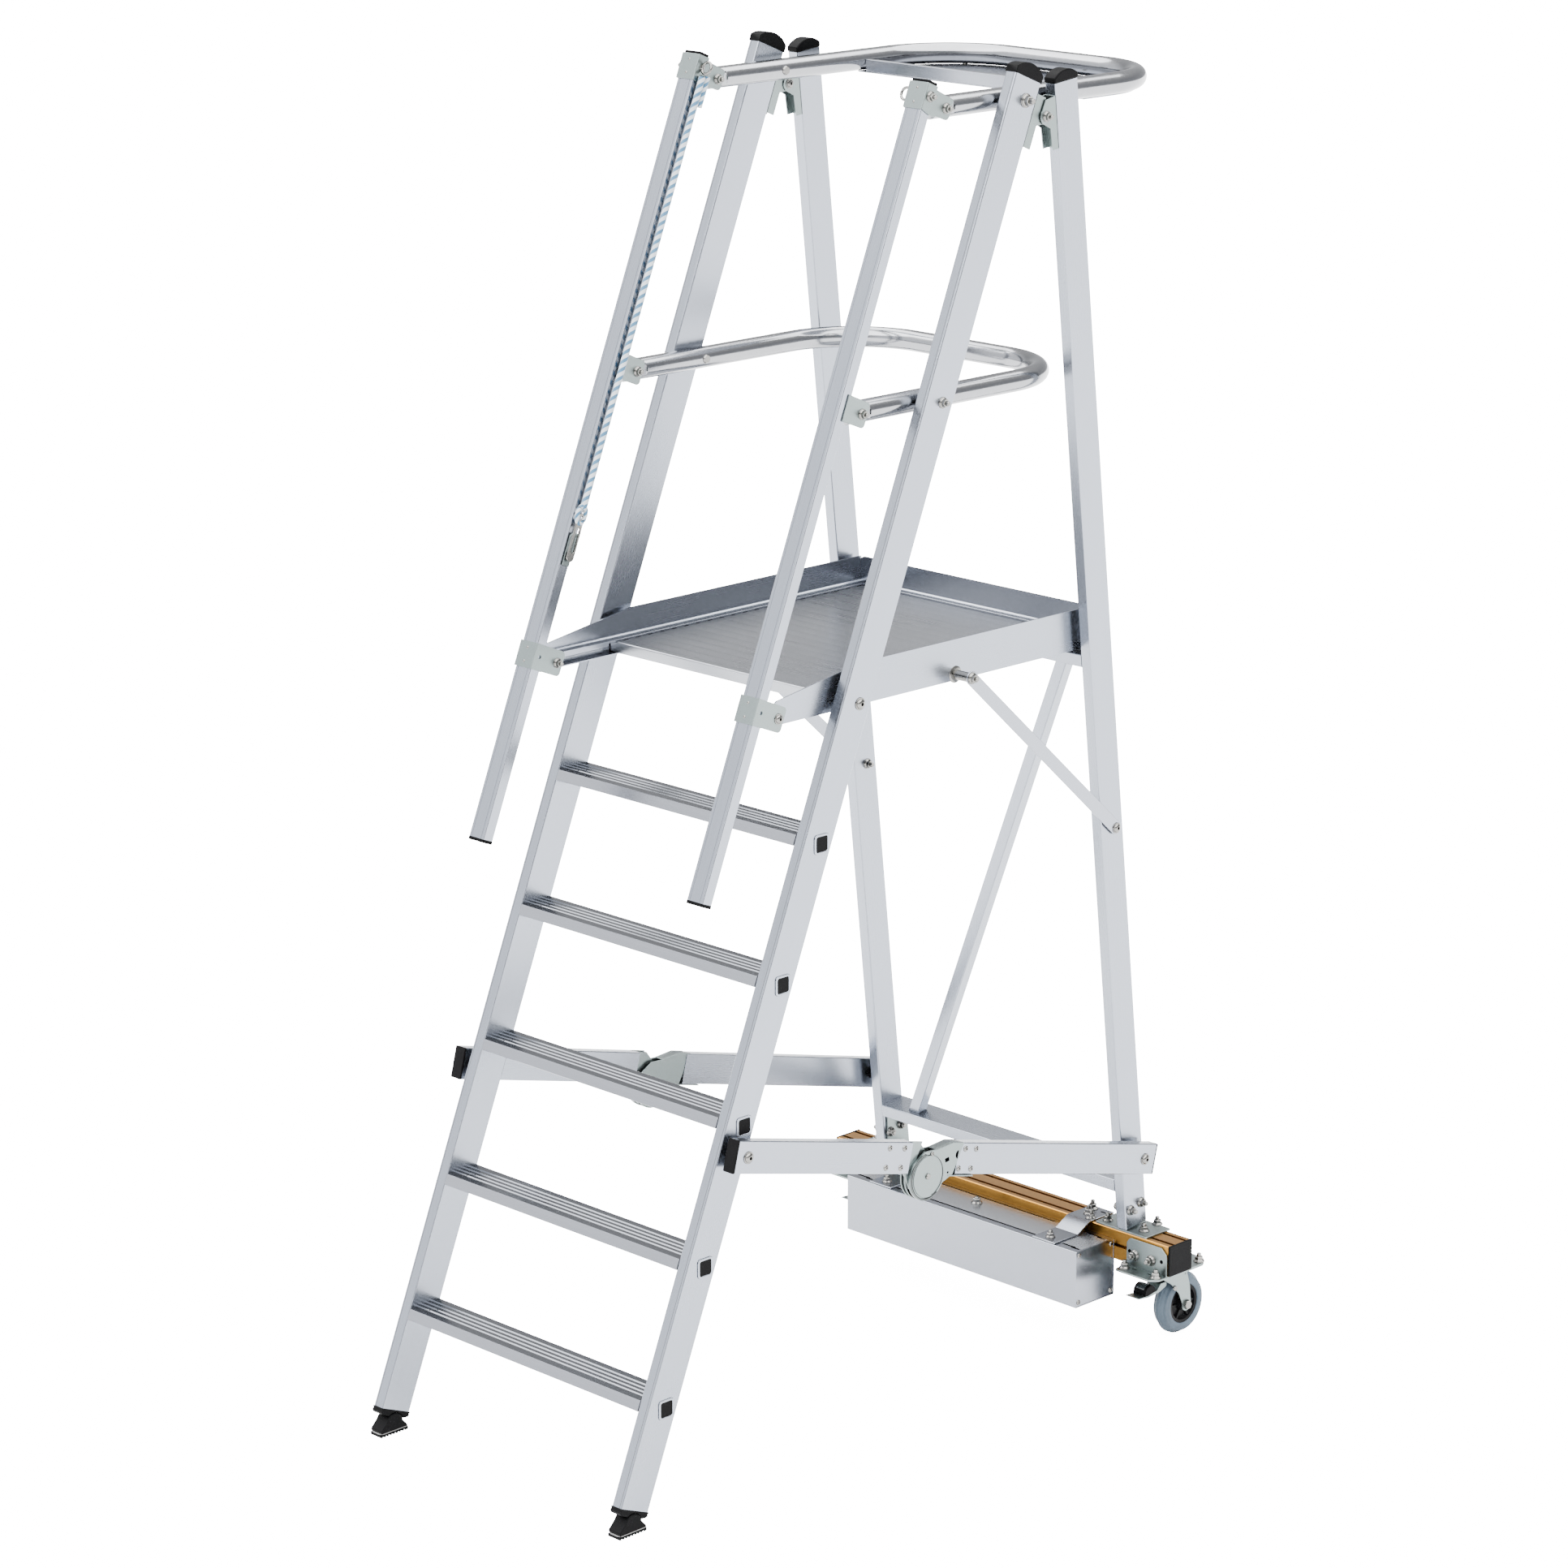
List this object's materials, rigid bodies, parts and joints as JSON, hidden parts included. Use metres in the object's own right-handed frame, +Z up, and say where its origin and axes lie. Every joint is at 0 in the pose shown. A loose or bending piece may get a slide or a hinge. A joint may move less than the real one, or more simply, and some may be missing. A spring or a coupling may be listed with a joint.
{
  "type": "rolling platform ladder",
  "caption": "Folding work platform on a rear frame with braked swivel casters, reached by wide treads between long stiles, with guard rails, entry posts and a tool tray.",
  "frame": {"origin": "on the floor, centred under the open ladder", "axes": "+Z up, +Y the way the climber faces, from the treads towards the casters, +X to the climber's right"},
  "size_m": [0.898, 1.5122, 2.509],
  "materials": {
    "aluminium": "extruded, satin, natural",
    "aluminium_deck": "ribbed deck extrusions, matt",
    "galvanised": "pressed sheet steel, zinc plated, pale grey-green",
    "gold_anodised": "extruded, gold anodised",
    "black_plastic": "moulded, satin black",
    "grey_tyre": "blue-grey solid rubber round a dark plastic core",
    "steel": "bright steel",
    "cast_weight": "hidden inside the ballast box",
    "rope": "braided, white with blue tracers"
  },
  "bodies": {
    "ladder": {"stile_left": "aluminium", "stile_right": "aluminium", "step_1": "aluminium", "step_2": "aluminium", "step_3": "aluminium", "step_4": "aluminium", "step_5": "aluminium", "top_cap_left": "black_plastic", "top_cap_right": "black_plastic", "foot_socket_left": "black_plastic", "foot_socket_right": "black_plastic", "front_hinge_bracket_left": "galvanised", "front_hinge_bracket_right": "galvanised"},
    "rear_frame": {"rear_stile_left": "aluminium", "rear_stile_right": "aluminium", "upper_crossbar": "aluminium", "lower_crossbar": "aluminium", "diagonal_brace": "aluminium", "rear_top_cap_left": "black_plastic", "rear_top_cap_right": "black_plastic", "rear_hinge_bracket_left": "galvanised", "rear_hinge_bracket_right": "galvanised", "traverse_beam": "gold_anodised", "traverse_cap_left": "black_plastic", "traverse_cap_right": "black_plastic", "ballast_box": "aluminium", "ballast_weight": "cast_weight", "box_strap_left": "aluminium", "box_strap_right": "aluminium", "stile_shoe_left": "galvanised", "stile_shoe_right": "galvanised", "caster_mount_left": "galvanised", "caster_mount_right": "galvanised"},
    "platform": {"platform_deck": "aluminium_deck", "side_board_left": "aluminium", "side_board_right": "aluminium", "rear_toe_board": "aluminium"},
    "top_rail": {"top_rail": "aluminium", "tool_tray": "aluminium"},
    "knee_rail": {"knee_rail": "aluminium"},
    "foot_left": {"foot_left": "black_plastic"},
    "caster_left": {"caster_fork_left": "galvanised", "axle_left": "steel"},
    "wheel_left": {"wheel_left": "grey_tyre"},
    "pedal_left": {"brake_pedal_left": "black_plastic"},
    "post_left": {"post_left": "aluminium", "rope": "rope", "rope_hook": "steel"},
    "strut_left": {"platform_strut_left": "aluminium"},
    "spreader_front_left": {"spreader_front_left": "aluminium"},
    "spreader_rear_left": {"spreader_rear_left": "aluminium"},
    "foot_right": {"foot_right": "black_plastic"},
    "caster_right": {"caster_fork_right": "galvanised", "axle_right": "steel"},
    "wheel_right": {"wheel_right": "grey_tyre"},
    "pedal_right": {"brake_pedal_right": "black_plastic"},
    "post_right": {"post_right": "aluminium"},
    "strut_right": {"platform_strut_right": "aluminium"},
    "spreader_front_right": {"spreader_front_right": "aluminium"},
    "spreader_rear_right": {"spreader_rear_right": "aluminium"}
  },
  "joints": [
    {"name": "fold", "type": "hinge", "parent": "ladder", "child": "rear_frame", "pos_m": [0, 0.31563, 2.40784], "axis": [-1, 0, 0], "range_deg": [0, 26.8]},
    {"name": "platform_fold", "type": "hinge", "parent": "ladder", "child": "platform", "pos_m": [0, -0.1541, 1.41339], "axis": [1, 0, 0], "range_deg": [0, 46.97]},
    {"name": "top_rail_fold", "type": "hinge", "parent": "ladder", "child": "top_rail", "pos_m": [0, 0.26115, 2.44117], "axis": [1, 0, 0], "range_deg": [0, 46.97]},
    {"name": "knee_rail_fold", "type": "hinge", "parent": "ladder", "child": "knee_rail", "pos_m": [0, 0.05305, 1.92612], "axis": [1, 0, 0], "range_deg": [0, 46.97]},
    {"name": "post_left_fold", "type": "hinge", "parent": "platform", "child": "post_left", "pos_m": [-0.2865, -0.3313, 1.41339], "axis": [-1, 0, 0], "range_deg": [0, 46.97]},
    {"name": "strut_left_fold", "type": "hinge", "parent": "rear_frame", "child": "strut_left", "pos_m": [-0.3407, 0.5347, 1.0475], "axis": [-1, 0, 0], "range_deg": [0, 36.69]},
    {"name": "spreader_front_left_fold", "type": "hinge", "parent": "ladder", "child": "spreader_front_left", "pos_m": [-0.36275, -0.4725, 0.6535], "axis": [1, 0, 0], "range_deg": [0, 82.04]},
    {"name": "spreader_lock_left", "type": "hinge", "parent": "spreader_front_left", "child": "spreader_rear_left", "pos_m": [-0.36275, -0.01378, 0.50107], "axis": [-1, 0, 0], "range_deg": [0, 168.95]},
    {"name": "foot_left_tilt", "type": "hinge", "parent": "ladder", "child": "foot_left", "pos_m": [-0.323, -0.72182, 0.02], "axis": [1, 0, 0], "range_deg": [-20, 15]},
    {"name": "caster_left_swivel", "type": "hinge", "parent": "rear_frame", "child": "caster_left", "pos_m": [-0.3852, 0.653, 0.1485], "axis": [0, 0, 1], "continuous": true},
    {"name": "wheel_left_spin", "type": "hinge", "parent": "caster_left", "child": "wheel_left", "pos_m": [-0.3852, 0.694, 0.0625], "axis": [1, 0, 0], "continuous": true},
    {"name": "brake_left_pedal", "type": "hinge", "parent": "caster_left", "child": "pedal_left", "pos_m": [-0.3852, 0.633, 0.118], "axis": [1, 0, 0], "range_deg": [0, 14]},
    {"name": "post_right_fold", "type": "hinge", "parent": "platform", "child": "post_right", "pos_m": [0.2865, -0.3313, 1.41339], "axis": [-1, 0, 0], "range_deg": [0, 46.97]},
    {"name": "strut_right_fold", "type": "hinge", "parent": "rear_frame", "child": "strut_right", "pos_m": [0.3407, 0.5347, 1.0475], "axis": [-1, 0, 0], "range_deg": [0, 36.69]},
    {"name": "spreader_front_right_fold", "type": "hinge", "parent": "ladder", "child": "spreader_front_right", "pos_m": [0.36275, -0.4725, 0.6535], "axis": [1, 0, 0], "range_deg": [0, 82.04]},
    {"name": "spreader_lock_right", "type": "hinge", "parent": "spreader_front_right", "child": "spreader_rear_right", "pos_m": [0.36275, -0.01378, 0.50107], "axis": [-1, 0, 0], "range_deg": [0, 168.95]},
    {"name": "foot_right_tilt", "type": "hinge", "parent": "ladder", "child": "foot_right", "pos_m": [0.323, -0.72182, 0.02], "axis": [1, 0, 0], "range_deg": [-20, 15]},
    {"name": "caster_right_swivel", "type": "hinge", "parent": "rear_frame", "child": "caster_right", "pos_m": [0.3852, 0.653, 0.1485], "axis": [0, 0, 1], "continuous": true},
    {"name": "wheel_right_spin", "type": "hinge", "parent": "caster_right", "child": "wheel_right", "pos_m": [0.3852, 0.694, 0.0625], "axis": [1, 0, 0], "continuous": true},
    {"name": "brake_right_pedal", "type": "hinge", "parent": "caster_right", "child": "pedal_right", "pos_m": [0.3852, 0.633, 0.118], "axis": [1, 0, 0], "range_deg": [0, 14]}
  ],
  "couplings": [
    {"joint": "platform_fold", "follows": "fold", "ratio": 1.7521},
    {"joint": "top_rail_fold", "follows": "fold", "ratio": 1.7521},
    {"joint": "knee_rail_fold", "follows": "fold", "ratio": 1.7521},
    {"joint": "post_left_fold", "follows": "fold", "ratio": 1.7521},
    {"joint": "strut_left_fold", "follows": "fold", "ratio": 1.3687},
    {"joint": "spreader_front_left_fold", "follows": "fold", "ratio": 3.0609},
    {"joint": "spreader_lock_left", "follows": "fold", "ratio": 6.3036},
    {"joint": "post_right_fold", "follows": "fold", "ratio": 1.7521},
    {"joint": "strut_right_fold", "follows": "fold", "ratio": 1.3687},
    {"joint": "spreader_front_right_fold", "follows": "fold", "ratio": 3.0609},
    {"joint": "spreader_lock_right", "follows": "fold", "ratio": 6.3036}
  ]
}
